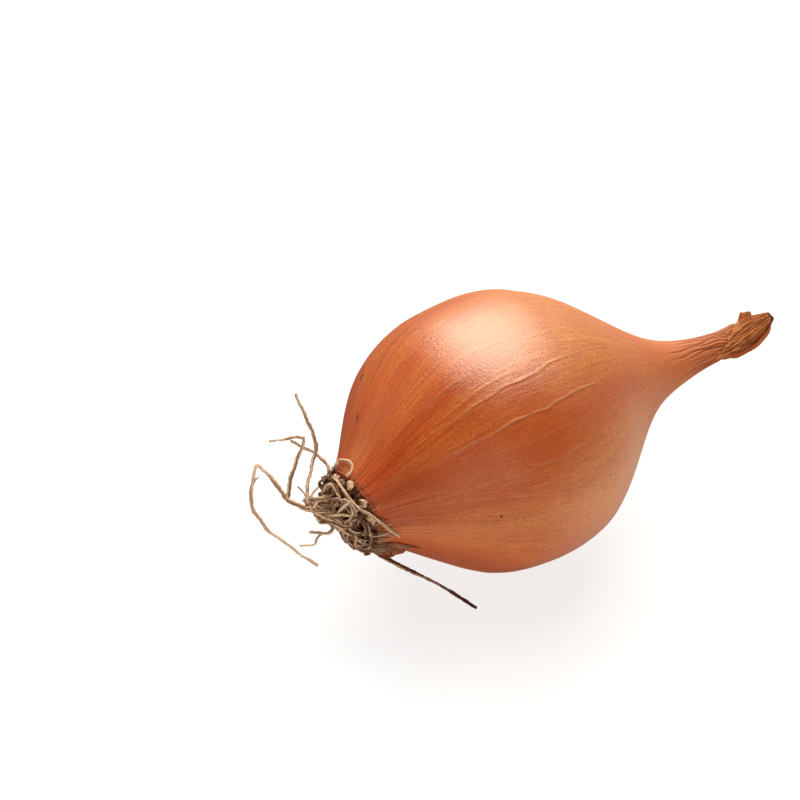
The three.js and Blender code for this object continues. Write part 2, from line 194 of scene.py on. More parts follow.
half = TABLE_SIZE / 2 * MM
table_mesh = bpy.data.meshes.new("table")
table_mesh.from_pydata(
    [(x, y, -TABLE_DROP * MM) for x, y in ((-half, -half), (half, -half), (half, half), (-half, half))],
    [], [(0, 1, 2, 3)],
)
table_mesh.materials.append(opal)
table = bpy.data.objects.new("table", table_mesh)
table.visible_glossy = False
scene.collection.objects.link(table)

# ---- bulb --------------------------------------------------------------------------------
# The swollen leaf bases in their outer skin, a dry satin sheet the colour of copper that is
# drawn tight over them. Its veins stand proud from the roots to the neck, where it shrinks
# into pleats; it flattens a little where it lies on the table.

# Middle line of the bulb and its radius there: x, y, z, r, from the root end to the neck.
BODY = np.array([
    [-27.6, -5.1, 22.2, 7.1], [-24.7, -4.49, 22.33, 8.6], [-21.9, -3.87, 22.46, 11.24],
    [-19, -3.22, 22.6, 14.2], [-16.1, -2.55, 22.69, 16.82], [-13.3, -1.9, 22.7, 19],
    [-10.4, -1.3, 22.66, 20.68], [-7.5, -0.78, 22.57, 21.78], [-4.7, -0.38, 22.47, 22.34],
    [-1.8, -0.12, 22.4, 22.64], [1.1, 0.02, 22.41, 22.77], [3.9, 0.05, 22.52, 22.64],
    [6.8, 0.03, 22.74, 22.17], [9.7, 0, 23.02, 21.23], [12.5, 0, 23.32, 19.74],
    [15.4, 0, 23.58, 17.65], [18.3, 0, 23.76, 15], [21.1, 0, 23.87, 12.2],
    [24, 0, 23.9, 9.4], [26.9, 0, 23.84, 7], [29.7, 0, 23.74, 5.3], [32.6, 0, 23.69, 4.1],
    [35.5, 0, 23.75, 3.28], [38.3, 0, 23.88, 2.72], [41.2, 0, 24, 2.42],
])
LAST = len(BODY) - 1
STATION_STEP = 2.9  # mm between stations
PATTERN_SCALE = 22.0  # mm of skin to one unit of its pattern
BODY_COLUMNS = 800
BODY_ROWS = 118
LOBES = ((3, 0.1, 0.6), (5, 0.07, 2.1), (8, 0.04, 4.0))  # count, height, turn
NECK_LOBES = 0.075  # height in mm of three broad lobes round the neck
RIM_SINK = 0.35  # the skin thins towards the root plate

# The stronger veins of the near side: degrees round the bulb at their start, middle and end,
# height in mm and the stations between which they show. The rest follow by rule.
NEAR_VEINS = (
    (127, 128.5, 124, 0.1, 1.5, 16), (112, 114.5, 107, 0.075, 1.5, 16), (96, 100, 102, 0.045, 1.0, 8),
    (93, 94.5, 97, 0.05, 5.8, 10), (104, 101, 97, 0.03, 8.5, 12.5), (82, 87, 91, 0.04, 2.0, 7),
    (112.5, 110, 110, 0.04, 4.0, 8.5), (150, 149, 146, 0.05, 2.5, 14), (143, 146, 149, 0.03, 0.6, 4.5),
    (151, 161, 160, 0.045, 0.8, 15), (170, 170, 171, 0.045, 2.0, 16), (157.5, 156.5, 155.5, 0.03, 7.0, 14),
    (85, 84, 81, 0.03, 9.5, 15), (68, 70, 75, 0.03, 3.0, 7), (121, 122, 124, 0.03, 0.4, 3.5),
    (137, 138, 136, 0.025, 3.0, 17), (183, 184, 182, 0.045, 2.0, 14), (60, 57, 58, 0.04, 4.0, 14),
)
# Darker and paler bands along the skin: middle and half width in degrees, the stations
# between which they show, and their strength. Most are streaks of the skin's own colour, but
# the broad dark band at 137 degrees is painted shade on the near upper side where the light
# turns away, and the pale band at 177 degrees is painted light thrown up from the table.
DEEP_BANDS = (
    (137, 13, -3, 19, 0.8), (160, 5, 7, 18, 0.3), (101, 7, 1, 9, 0.25), (72, 6, 2, 8, 0.25),
    (213, 12, 1, 17, 0.85), (262, 12, 0, 14, 0.5), (318, 9, 2, 15, 0.6), (20, 10, 1, 13, 0.4),
)
PALE_BANDS = ((177, 12, -2, 16, 0.4), (74, 12, -3, 3.5, 0.5), (238, 12, 2, 15, 0.3), (345, 12, 0, 12, 0.3))
# Dark spots: station, degrees and size in mm.
SPOTS = (
    (2.42, 54, 0.42), (4.18, 40, 0.44), (4.96, 169, 0.22), (12.6, 172, 0.2), (13.1, 168, 0.16),
    (7.5, 250, 0.4),
)
VEIN_SPACING = 12.0  # degrees between veins elsewhere
VEIN_WIDTH = 0.17  # mm
FAR_VEINS = (192, 412)  # degrees between which the veins follow by rule
PLEATS_FROM, PLEATS_TO = 24, 37  # along X, in mm: where they begin and where they are full
GROOVES = 30  # pleats round the neck
GROOVE_DEPTH = 0.3
GROOVE_WIDTH = 0.2


def smooth(rows, t):
    """Point at t on the uniform Catmull-Rom curve through equally numbered rows: the cubic
    that meets rows k and k + 1 with slopes of half the step between their neighbours."""
    t = np.asarray(t, float)
    k = np.clip(np.floor(t).astype(int), 0, len(rows) - 2)
    w = (t - k)[..., None]
    a, b, c, d = (rows[np.clip(k + step, 0, len(rows) - 1)] for step in (-1, 0, 1, 2))
    return 0.5 * (2 * b + (c - a) * w + (2 * a - 5 * b + 4 * c - d) * w**2
                  + (3 * b - a - 3 * c + d) * w**3)


def spline(rows, t):
    """Point at t on the natural cubic spline through equally numbered rows. Its second
    derivatives m solve m[k-1] + 4 m[k] + m[k+1] = 6 (y[k-1] - 2 y[k] + y[k+1]), 0 at the ends."""
    n = len(rows)
    steps = 4 * np.eye(n) + np.eye(n, k=1) + np.eye(n, k=-1)
    steps[0], steps[-1] = np.eye(n)[0], np.eye(n)[-1]
    bends = np.zeros(rows.shape)
    bends[1:-1] = 6 * (rows[:-2] - 2 * rows[1:-1] + rows[2:])
    m = np.linalg.solve(steps, bends)
    t = np.asarray(t, float)
    k = np.clip(np.floor(t).astype(int), 0, n - 2)
    w = (t - k)[..., None]
    return (rows[k] * (1 - w) + rows[k + 1] * w
            + ((1 - w) ** 3 - (1 - w)) * m[k] / 6 + (w**3 - w) * m[k + 1] / 6)


def ramp(x, start, end):
    """0 before start, 1 after end and 3 w^2 - 2 w^3 between them, w the share of the way."""
    w = np.clip((x - start) / (end - start), 0, 1)
    return w * w * (3 - 2 * w)


def wrap(angle):
    """The same angle between minus pi and pi."""
    return np.arctan2(np.sin(angle), np.cos(angle))


def chance(i, series):
    """Repeatable number from 0 to 1: the fraction of 43758.5453 sin(12.9898 i + 78.233 s)."""
    v = np.sin(np.asarray(i, float) * 12.9898 + series * 78.233) * 43758.5453
    return v - np.floor(v)


def phase(i, series):
    """Repeatable angle anywhere on the circle, for the start of a wave."""
    return 6.3 * chance(i, series)


def bell(off, width):
    """exp(-(off / width)^2): 1 in the middle and next to nothing at twice the width."""
    return np.exp(-((off / width) ** 2))


def grid(rows, columns):
    """Two arrays of one value per row and one per column of a grid."""
    return np.meshgrid(rows, columns, indexing="ij")


def full_circle(count):
    """Evenly spaced angles round a full turn, without the last one."""
    return np.arange(count) / count * 2 * np.pi


def station(t):
    """Middle, direction along, sideways (+Y), upwards and plain radius of the bulb at t."""
    row = spline(BODY, t)
    along = unit((spline(BODY, np.add(t, 0.01)) - spline(BODY, np.subtract(t, 0.01)))[..., :3])
    side = unit(np.cross([0.0, 0.0, 1.0], along))
    return row[..., :3], along, side, np.cross(along, side), row[..., 3]


def vein_lines(t, angle, radius):
    """Height of the veins, and a mask for the painted shade along the foot of each on its lower
    side, away from the light. A vein is a bell across the skin of the distance d from its
    middle line, a wavering parabola in w."""
    height, foot = np.zeros(angle.shape), np.zeros(angle.shape)
    rows = list(NEAR_VEINS)
    count = int((FAR_VEINS[1] - FAR_VEINS[0]) / VEIN_SPACING)
    for i in range(count):
        middle = FAR_VEINS[0] + (i + 0.6 * chance(i, 1)) * VEIN_SPACING
        rise = 1 + 4 * chance(i, 2)
        rows.append((middle + 4 * (chance(i, 4) - 0.5), middle, middle + 6 * (chance(i, 5) - 0.5),
                     0.025 + 0.07 * chance(i, 3) ** 2, rise, rise + 6 + 8 * chance(i, 6)))
    for i, (start, bend, end, size, rise, fade) in enumerate(rows):
        w = (t - rise) / (fade - rise)
        course = start * (1 - w) * (1 - 2 * w) + 4 * bend * w * (1 - w) + end * w * (2 * w - 1)
        sway = 0.4 * np.sin(1.35 * t + phase(i, 7)) + 0.2 * np.sin(3.1 * t + phase(i, 8))
        d = wrap(angle - np.radians(course + sway)) * radius
        shown = ramp(w, 0, 0.3) * (1 - ramp(w, 0.75, 1)) * (0.8 + 0.2 * np.sin(2.1 * t + phase(i, 9)))
        height += size * shown * bell(d, VEIN_WIDTH)
        foot += size * shown * bell(d - 1.2 * VEIN_WIDTH, VEIN_WIDTH)
    return height, foot


def band_strength(rows, t, angle):
    """Strength of the darker or paler bands: the strongest of their bells across the skin,
    each faded in and out along it over three stations."""
    strength = np.zeros(angle.shape)
    for middle, width, start, end, size in rows:
        shown = ramp(t, start, start + 3) * (1 - ramp(t, end - 3, end))
        off = wrap(angle - np.radians(middle + 2.5 * np.sin(0.4 * t + middle)))
        strength = np.maximum(strength, size * shown * bell(off, np.radians(width)))
    return strength


def neck_grooves(x, angle, radius):
    """Depth from 0 to 1 of the creases between the pleats: narrow bells across the neck,
    unevenly spaced, each starting at its own place on the way to the dried end."""
    depth = np.zeros(np.broadcast(x, angle).shape)
    for i in range(GROOVES):
        middle = (i + 0.5 * chance(i, 9)) / GROOVES * 2 * np.pi
        start = 27 + 6.5 * chance(i, 10)
        sway = 0.05 * np.sin(0.55 * x + phase(i, 11)) + 0.03 * np.sin(1.3 * x + phase(i, 12))
        d = wrap(angle - middle - sway) * radius
        width = GROOVE_WIDTH * (0.7 + 0.6 * chance(i, 13))
        strength = (0.5 + 0.5 * chance(i, 14)) * ramp(x, start, start + 7)
        depth = np.maximum(depth, strength * bell(d, width))
    return depth


def skin(t, angle, lift=0.0):
    """Point of the skin at station t and angle round the bulb, lift mm above it: the middle
    plus the radius with its lobes, veins and pleats times the direction outwards."""
    middle, _, side, up, radius = station(t)
    x = middle[..., 0]
    belly = ramp(x, -26, -14) * (1 - ramp(x, 16, 30))
    relief = sum(belly * size * np.cos(count * angle + turned) for count, size, turned in LOBES)
    relief = relief - RIM_SINK * (1 - ramp(x, -27.6, -24)) - 0.3 * ramp(x, 40.6, 41.2)
    relief = relief + vein_lines(t, angle, radius)[0]
    pleats = 0.12 + NECK_LOBES * np.cos(3 * angle + 1) - GROOVE_DEPTH * neck_grooves(x, angle, radius)
    relief = relief + ramp(x, PLEATS_FROM, PLEATS_TO) * pleats
    reach = (radius + relief + lift)[..., None]
    return middle + reach * (side * np.cos(angle)[..., None] + up * np.sin(angle)[..., None])


def grid_quads(n, m, columns):
    """Quads between the rows of an n by m grid of points, from each of the columns to the
    one after it, with the first after the last."""
    row, column = grid(np.arange(n - 1), columns)
    after = (column + 1) % m
    corners = [row * m + column, row * m + after, (row + 1) * m + after, (row + 1) * m + column]
    return np.stack(corners, -1).reshape(-1, 4)


def loft(rings):
    """Closed skin over an (n, m, 3) grid of rings, its columns joined round: quads between
    the rings and a fan of triangles to the middle of each end ring."""
    n, m = rings.shape[:2]
    around = np.arange(m)
    after = (around + 1) % m
    fan_start = np.stack([np.full(m, n * m), after, around], -1)
    fan_end = np.stack([np.full(m, n * m + 1), (n - 1) * m + around, (n - 1) * m + after], -1)
    points = np.concatenate([rings.reshape(-1, 3), [rings[0].mean(0), rings[-1].mean(0)]])
    return points, [*grid_quads(n, m, around).tolist(), *fan_start.tolist(), *fan_end.tolist()]


def sheet(outer, inner, around):
    """Closed thin sheet between two (n, m, 3) grids: both faces and a strip along each free
    edge. With around its columns join into a ring."""
    n, m = outer.shape[:2]
    columns = np.arange(m if around else m - 1)
    top = grid_quads(n, m, columns)
    bottom = top[:, ::-1] + n * m
    after = (columns + 1) % m
    near = np.stack([columns, columns + n * m, after + n * m, after], -1)
    far = (near + (n - 1) * m)[:, ::-1]
    strips = [top, bottom, near, far]
    if not around:
        rows = np.arange(n - 1) * m
        left = np.stack([rows, rows + m, rows + m + n * m, rows + n * m], -1)
        strips += [left, (left + m - 1)[:, ::-1]]
    return np.concatenate([outer.reshape(-1, 3), inner.reshape(-1, 3)]), np.concatenate(strips).tolist()


def new_piece(name, shapes, fields, material, node):
    """Mesh object from (points in mm, faces) shapes, with per-vertex fields of numbers or
    3-vectors, its material, and what it stands for in the frame."""
    points, faces, count = [], [], 0
    for shape_points, shape_faces in shapes:
        points.append(shape_points)
        faces += [[corner + count for corner in face] for face in shape_faces]
        count += len(shape_points)
    mesh = bpy.data.meshes.new(name)
    mesh.from_pydata((np.concatenate(points) * MM).tolist(), [], faces)
    mesh.polygons.foreach_set("use_smooth", [True] * len(mesh.polygons))
    for label, values in fields.items():
        values = np.asarray(values, np.float32)
        vector = values.ndim == 2
        layer = mesh.attributes.new(label, "FLOAT_VECTOR" if vector else "FLOAT", "POINT")
        layer.data.foreach_set("vector" if vector else "value", values.ravel())
    mesh.materials.append(material)
    made = bpy.data.objects.new(name, mesh)
    scene.collection.objects.link(made)
    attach(made, "root")
    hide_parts(node)


def with_poles(values):
    """A field on an (n, m) grid flattened, with its end rings' means for the two poles."""
    values = np.asarray(values, float)
    flat = values.reshape(-1, *values.shape[2:])
    return np.concatenate([flat, values[:1].mean(1), values[-1:].mean(1)])


def pattern_place(t, angle):
    """Where the skin's pattern is read: a unit circle round the bulb and stations along it."""
    return np.stack([np.cos(angle), np.sin(angle), t * STATION_STEP / PATTERN_SCALE], -1)


def onion_fields(flatten, around, **given):
    """The fields that the copper skin's material reads, 0 where none is given."""
    names = ("vein", "vein_foot", "groove", "neckward", "deep", "pale", "rootward", "rim")
    blank = np.zeros(around.shape[:2])
    return {"around": flatten(around), **{name: flatten(given.get(name, blank)) for name in names}}


def field(tree, name, output="Fac"):
    """A field of the piece, as numbers or, with output "Vector", as places."""
    return add(tree, "Attribute", attribute_name=name).outputs[output]


def noise(tree, place, scale, detail=2.0, rough=0.5):
    """Noise about 0.5 read at a place."""
    return add(tree, "TexNoise", {"Vector": place, "Scale": scale, "Detail": detail,
                                  "Roughness": rough}).outputs["Fac"]


def stretched(tree, place, round_scale, along_scale, detail=3.0, rough=0.5):
    """Noise drawn out along the bulb, with its own scale round it and along it."""
    turned = add(tree, "Mapping", {"Vector": place, "Scale": (round_scale, round_scale, along_scale)})
    return noise(tree, turned.outputs[0], 1.0, detail, rough)


def layered(tree, ground, *layers):
    """Colour built up on a ground of the given sRGB hex: each layer in turn is the share
    that it covers and its own hex."""
    colour = from_hex(ground)
    for share, code in layers:
        colour = mixed(tree, share, colour, from_hex(code))
    return colour


def bumpy(tree, height, strength, distance):
    """The surface's normal, tipped by a relief of the given height in metres."""
    return add(tree, "Bump", {"Height": height, "Strength": strength, "Distance": distance}).outputs[0]


# Dry onion skin: cellulose, glossy from its waxy bloom, with long cells along the veins.
COPPER = "#C96820"
COPPER_DEEP = "#B2460E"
COPPER_ROOT = "#C24006"
COPPER_TAN = "#C8782A"
FIBRE_PALE = "#DC8844"
NECK_ORANGE = "#C25A08"
# painted shade in the creases between the pleats of the neck
PLEAT_SHADE = "#741C02"
# pale veins, partly a painted highlight along their crests
VEIN_PALE = "#DE9A66"
# dark marks, and the painted shade along the lower foot of each vein
VEIN_SHADE = "#7A2C0E"
RIM_BROWN = "#2E120A"
onion_skin, tree = new_material("dry_onion_skin")
place = field(tree, "around", "Vector")
neckward = field(tree, "neckward")
rootward = field(tree, "rootward")
bands = stretched(tree, place, 5.0, 0.7, 2.0)
fibres = stretched(tree, place, 42.0, 2.2, 3.0, 0.6)
hairlines = stretched(tree, place, 95.0, 5.0, 2.0, 0.6)
specks = stretched(tree, place, 60.0, 60.0, 2.0)
blotches = stretched(tree, place, 2.2, 2.0, 3.0)
streaks = stretched(tree, place, 26.0, 1.2, 3.0, 0.6)
dark_rim = math(tree, "MULTIPLY", field(tree, "rim"), between(tree, streaks, 0.48, 0.6))
scorch = math(tree, "MULTIPLY", between(tree, rootward, 0.35, 1.0),
              between(tree, streaks, 0.46, 0.62, 0.0, 0.5))

# The spots have frayed outlines: each place is first moved a little at random.
wobble = add(tree, "TexNoise", {"Vector": place, "Scale": 40.0}).outputs["Color"]
wobble = add(tree, "VectorMath", {0: wobble, "Scale": 0.03}, operation="SCALE").outputs[0]
frayed = add(tree, "VectorMath", {0: place, 1: wobble}, operation="ADD").outputs[0]
spots = []
for at, degrees, size in SPOTS:
    middle = tuple(pattern_place(at, np.radians(degrees)) + 0.015)
    away = add(tree, "VectorMath", {0: frayed, 1: middle}, operation="DISTANCE").outputs[1]
    spots.append((between(tree, away, size / 30, size / 15, 0.95, 0.0), RIM_BROWN))

colour = layered(
    tree, COPPER_DEEP,
    (between(tree, bands, 0.35, 0.65), COPPER),
    (between(tree, blotches, 0.45, 0.75, 0.0, 0.4), COPPER_ROOT),
    (between(tree, rootward, 0.0, 1.0, 0.0, 0.75), COPPER_ROOT),
    (between(tree, neckward, 0.0, 0.5, 0.0, 0.8), COPPER_TAN),
    (between(tree, neckward, 0.5, 1.0, 0.0, 0.85), NECK_ORANGE),
    (between(tree, fibres, 0.4, 0.7, 0.0, 0.35), FIBRE_PALE),
    (between(tree, hairlines, 0.56, 0.36, 0.0, 0.6), COPPER_DEEP),
    # paler and darker bands: streaks of the skin, with painted table light at 177 and painted shade at 137
    # degrees
    (field(tree, "pale"), FIBRE_PALE),
    (field(tree, "deep"), COPPER_DEEP),
    (scorch, VEIN_SHADE),
    # pale veins, partly a painted highlight along their crests
    (between(tree, field(tree, "vein"), 0.0, 0.1, 0.0, 0.5), VEIN_PALE),
    # painted shade along the lower foot of each vein
    (between(tree, field(tree, "vein_foot"), 0.0, 0.12, 0.0, 0.75), VEIN_SHADE),
    # painted shade in the creases of the pleats
    (between(tree, field(tree, "groove"), 0.1, 1.0, 0.0, 0.85), PLEAT_SHADE),
    (dark_rim, RIM_BROWN),
    *spots,
    (between(tree, specks, 0.38, 0.6, 0.35, 0.0), VEIN_SHADE),
)
gloss = math(tree, "ADD", between(tree, fibres, 0.2, 0.8, 0.33, 0.43),
             between(tree, neckward, 0.1, 0.8, 0.0, 0.3))
surface(tree, {"Base Color": colour, "Roughness": gloss, "IOR": 1.65, "Specular IOR Level": 1.0,
               "Specular Tint": (1.0, 0.93, 0.78, 1.0),
               "Normal": bumpy(tree, math(tree, "ADD", fibres, specks), 0.6, 0.0001)})

t, angle = grid(np.linspace(0, LAST, BODY_ROWS + 1), full_circle(BODY_COLUMNS))
middle, _, _, _, radius = station(t)
x = middle[..., 0]
rings = skin(t, angle)
rings[..., 2] = np.maximum(rings[..., 2], 0)  # it lies flat on the table
height, foot = vein_lines(t, angle, radius)
low_side = 0.5 - 0.5 * np.sin(angle)
fields = onion_fields(
    with_poles, pattern_place(t, angle), vein=height, vein_foot=foot,
    groove=neck_grooves(x, angle, radius) * ramp(x, PLEATS_FROM, PLEATS_TO),
    neckward=0.5 * ramp(x, -8, 14) + 0.5 * ramp(x, 16, 30),
    deep=band_strength(DEEP_BANDS, t, angle), pale=band_strength(PALE_BANDS, t, angle),
    rootward=1 - ramp(x, -27, -13),
    rim=(1 - ramp(x, -27.6, -26.4 + 3.0 * low_side)) * (0.35 + 0.6 * low_side),
)
new_piece("copper_skin", [loft(rings)], fields, onion_skin, "bulb")

# ---- dried end of the neck ---------------------------------------------------------------
# The leaves above the bulb, withered and pressed flat. The inner sheath carries the pleats
# of the neck on to the end; the outer one is a crumpled brown husk that laps over it, torn
# at its start and open along its lower edge.

# Middle of the flattened sheath and its half width and half thickness.
TIP = np.array([
    [39.9, 0, 23.97, 2.6, 2.58], [41.1, 0, 24, 2.5, 2.45], [42.3, 0, 23.85, 2.4, 2.25],
    [43.4, 0, 23.6, 2.42, 2.05], [44.8, 0, 23.68, 2.5, 1.9], [46.1, 0, 23.95, 2.55, 1.8],
    [47.5, 0, 24.4, 2.55, 1.65], [48.7, 0, 24.95, 2.4, 1.5], [50, 0, 25.5, 2.05, 1.3],
    [51, 0, 26.05, 1.55, 1.1], [51.8, 0, 26.55, 1.05, 0.85], [52.3, 0, 26.95, 0.68, 0.6],
])
TIP_LAST = len(TIP) - 1
TIP_START, TIP_STEP = LAST - 0.45, 0.41  # the end's stations as stations of the bulb
FLAT_FACING = np.array([-0.31, -0.64, 0.71])  # the broad face of the flattened end
TIP_TURN = np.radians(42)  # from an angle round the end to the same one round the bulb
SHEATH_ROWS, SHEATH_COLUMNS = 90, 300
HUSK_ROWS, HUSK_COLUMNS = 130, 300
HUSK_FROM, HUSK_TO = -168, 140  # degrees round the end that the husk covers
HUSK_THICKNESS = 0.2
HUSK_EDGE_WIDTH = 0.2  # radians of it that rise along its open edge


def tip_frame(t):
    """Middle, wide and flat directions and half sizes of the dried end at t."""
    row = smooth(TIP, t)
    along = unit((smooth(TIP, t + 0.01) - smooth(TIP, t - 0.01))[..., :3])
    wide = unit(np.cross(FLAT_FACING, along))
    return row[..., :3], wide, np.cross(along, wide), row[..., 3], row[..., 4]


def tip_point(t, angle, lift):
    """Point lift mm above the flattened end: an ellipse of the half sizes at t."""
    middle, wide, flat, a, b = tip_frame(t)
    return (middle + wide * (np.maximum(a + lift, 0.03) * np.cos(angle))[..., None]
            + flat * (np.maximum(b + lift, 0.03) * np.sin(angle))[..., None])


def crumple(u, v, series):
    """Creases like crushed paper, about -1 to 1: the mean of folded waves 1 - 2 |sin| that
    cross the sheet at different slants, each finer one 0.82 as strong as the one before."""
    total, weight = np.zeros(np.broadcast(u, v).shape), 0
    for i in range(9):
        size = 0.82**i
        p = (1.6 + 0.9 * i) * (0.8 + 0.4 * chance(i, series))
        q = (0.25 + 0.35 * i) * (chance(i, series + 1) - 0.5) * 2
        bend = 0.8 * np.sin(0.7 * v + 0.6 * u + phase(i, series + 2))
        total += size * (1 - 2 * np.abs(np.sin(p * u + q * v + bend + phase(i, series + 3))))
        weight += size
    return total / weight


def husk_start(angle):
    """Where along the end the husk's torn edge runs: furthest on along the upper side, in
    the 1.7th power of half of 1 + cos, crumpled, and with a shallow lobe below."""
    upper = (0.5 + 0.5 * np.cos(angle)) ** 1.7
    lobe = 0.5 * (angle < 0) * np.sin(angle) ** 2
    return 0.25 + 5.75 * upper + 0.3 * crumple(2.6 * angle, 0 * angle, 60) + lobe


def both(values):
    """A field on the grid of one face of a sheet, flattened and given again for the other."""
    flat = values.reshape(-1, *values.shape[2:])
    return np.concatenate([flat, flat])


# The inner sheath thins where the husk covers it, stands up in a shoulder above and turns
# out in a lip along the husk's open edge.
t, angle = grid(np.linspace(0.3, TIP_LAST, SHEATH_ROWS + 1), full_circle(SHEATH_COLUMNS))
x, radius = smooth(TIP, t)[..., 0], smooth(TIP, t)[..., 3]
bulb_angle = angle + TIP_TURN
groove = neck_grooves(x, bulb_angle, np.maximum(radius, 1.2))
lip = bell(wrap(angle - np.radians(170)), 0.3) * ramp(t, 2.4, 4) * (1 - ramp(t, 8.6, 10.5))
blend = ramp(t, 1, 2.4)
covered = ramp(t - husk_start(wrap(angle)), -0.9, 0.2)
shoulder = 0.3 * bell(wrap(angle), 0.8) * ramp(t, 1.2, 3) * (1 - ramp(t, 4.5, 6.5))
lift = 0.06 - 0.34 * blend * covered + shoulder + 0.75 * lip - 0.25 * (1 - ramp(t, 0.3, 0.85))
lift += (1 - blend) * NECK_LOBES * np.cos(3 * bulb_angle + 1) - 0.9 * GROOVE_DEPTH * groove
lift += 0.05 * blend * crumple(3 * angle, t, 50)
fields = onion_fields(
    with_poles, pattern_place(TIP_START + TIP_STEP * t, bulb_angle), groove=groove,
    neckward=np.ones(t.shape), rim=0.9 * ramp(t, 10, 11),
    rootward=np.clip(0.75 * ramp(t, 6, 11) + 0.6 * lip, 0, 1),
)
new_piece("inner_sheath", [loft(tip_point(t, angle, lift))], fields, onion_skin, "neck_tip")

# The outer husk is ridged and crumpled, drawn in at its end and raised along its open edge.
v, angle = grid(np.linspace(0, 1, HUSK_ROWS + 1),
                np.radians(np.linspace(HUSK_FROM, HUSK_TO, HUSK_COLUMNS)))
torn = husk_start(angle)
t = torn + (TIP_LAST - 0.05 - torn) * v
start = np.clip(1 - (t - torn) / 0.9, 0, 1)
open_edge = sum(bell(angle - np.radians(side), HUSK_EDGE_WIDTH) for side in (HUSK_FROM, HUSK_TO))
ridges = np.cos(13 * angle + 0.35 * t + 0.7 * np.sin(0.8 * t))
folds = 0.7 * crumple(3.1 * angle, 0.8 * t, 70) + 0.5 * crumple(7 * angle, 2.2 * t, 75)
ends = (1 - 0.6 * ramp(t, 9, 11)) * (0.35 + 0.65 * ramp(t - torn, 0, 1.5))
lift = (0.12 * (1 - ramp(t, 1, 2.4)) + (0.06 * ridges + 0.3 * folds) * ends - 0.06 * start**2
        + 0.16 * open_edge * ramp(t, 2.5, 5) * ends)
outer = tip_point(t, angle, lift)
inner = tip_point(t, angle, lift - HUSK_THICKNESS * (0.4 + 0.6 * ends))
# painted shadow in the gap under both open edges, and a darker end and torn start
dark = np.clip(0.95 * open_edge * ramp(t, 2, 4) + ramp(t, 9.6, 11) + 0.25 * start**3, 0, 1)

# Withered leaf sheath: leathery brown paper, dull, with painted shade in its creases and a
# painted shadow along its open edges, darker at its end and torn start.
HUSK_TAN = "#D28A4C"
HUSK_BROWN = "#AE5C26"
HUSK_CREASE = "#5E280E"
HUSK_EDGE = "#4A0E04"
withered, tree = new_material("withered_leaf_sheath")
object_place = add(tree, "TexCoord").outputs["Object"]
blots = noise(tree, object_place, 700.0, 4.0, 0.6)
grit = noise(tree, object_place, 3200.0)
colour = layered(
    tree, HUSK_BROWN,
    (between(tree, blots, 0.35, 0.65), HUSK_TAN),
    # painted shade in the creases of the crumples
    (between(tree, field(tree, "fold"), -0.5, -0.05, 0.75, 0.0), HUSK_CREASE),
    # painted shadow along the open edges, with the darker end and torn start
    (field(tree, "edge"), HUSK_EDGE),
)
surface(tree, {"Base Color": colour, "Roughness": 0.62, "Specular IOR Level": 0.25,
               "Normal": bumpy(tree, math(tree, "ADD", grit, blots), 0.5, 0.00012)})
new_piece("outer_husk", [sheet(outer, inner, False)], {"fold": both(folds * ends), "edge": both(dark)},
          withered, "neck_tip")

# The torn strip that stands up from the upper edge, by its four corners: mm from TAB_AT
# along the end and mm above its upper edge.
TAB_AT, TAB_THICKNESS = 6.6, 0.3
TAB_START = np.array([[-1.18, -0.82], [0.62, 1.02]])
TAB_END = np.array([[1.73, -1.08], [2.25, 0.21]])
TAB_PATTERN = (0.7, 0.7, 3.4)  # where on the skin's pattern the strip starts
u, v = grid(np.linspace(0, 1, 28), np.linspace(0, 1, 32))
middle, wide, flat, a, _ = tip_frame(np.array(TAB_AT))
along = np.cross(wide, flat)
sides = [(1 - u) * (1 - v), u * (1 - v), (1 - u) * v, u * v]
corner = sum(side[..., None] * place for side, place in zip(sides, (*TAB_START, *TAB_END)))
ragged = 0.05 * np.sin(9 * v + 1) + 0.03 * np.sin(21 * v) - 0.16 * bell(v - 0.86, 0.05)
across = corner[..., 0] - 0.25 * np.sin(np.pi * u) * (1 - v)
rise = corner[..., 1] + ragged * u**3
curl = 0.12 + 0.2 * np.cos(3.1 * v) + 0.15 * u**2 + 0.06 * np.sin(11 * v + 3 * u)
front = middle + wide * (a + rise)[..., None] + along * across[..., None] + flat * curl[..., None]
around = np.array(TAB_PATTERN) + v[..., None] * [0.3, -0.3, 0]
# The groove field paints stripes of shade across the strip, as creases.
fields = onion_fields(both, around, neckward=0 * v + 0.5, rootward=0 * v + 0.6,
                      groove=0.2 - 0.35 * np.sin(14 * v + 3 * u))
new_piece("torn_tab", [sheet(front, front - flat * TAB_THICKNESS, False)], fields,
          onion_skin, "neck_tip")

# ---- torn edge of the outer skin ---------------------------------------------------------
# Where the skin was once fixed to the root plate it has died back to a ragged brown fringe
# that lies over the rim, longest on the lower side, where papery flaps stand off.

FRINGE_COLUMNS, FRINGE_ROWS = 1200, 12
FRINGE_THICKNESS = 0.08
FRINGE_INSET = 1.5  # mm that it reaches inwards over the rim
SHREDS = 58
LOW_SIDE, LOW_SPREAD = np.radians(205), 0.85  # where the fringe is longest, and how widely

# Each flap: degrees round the bulb at its upper edge, its width in degrees, its length and
# how far it stands off, in mm.
FLAPS = (
    (203, 34, 4.8, 2.0), (183, 24, 2.0, 0.35), (244, 20, 1.4, 0.2), (158, 16, 1.3, 0.25),
    (224, 26, 1.9, 0.5),
)


def over_rim(t, angle, lift):
    """Point of the skin carried on past the root end: below t = 0 it runs inwards over the
    rim by as many stations and bulges out by a fifth of the square root of that length."""
    inward = np.maximum(-t, 0) * STATION_STEP
    _, along, side, up, _ = station(0.0)
    outward = side * np.cos(angle)[..., None] + up * np.sin(angle)[..., None]
    return (skin(np.maximum(t, 0), angle, lift) - outward * inward[..., None]
            - along * (0.2 * np.sqrt(inward) + lift * (t < 0))[..., None])


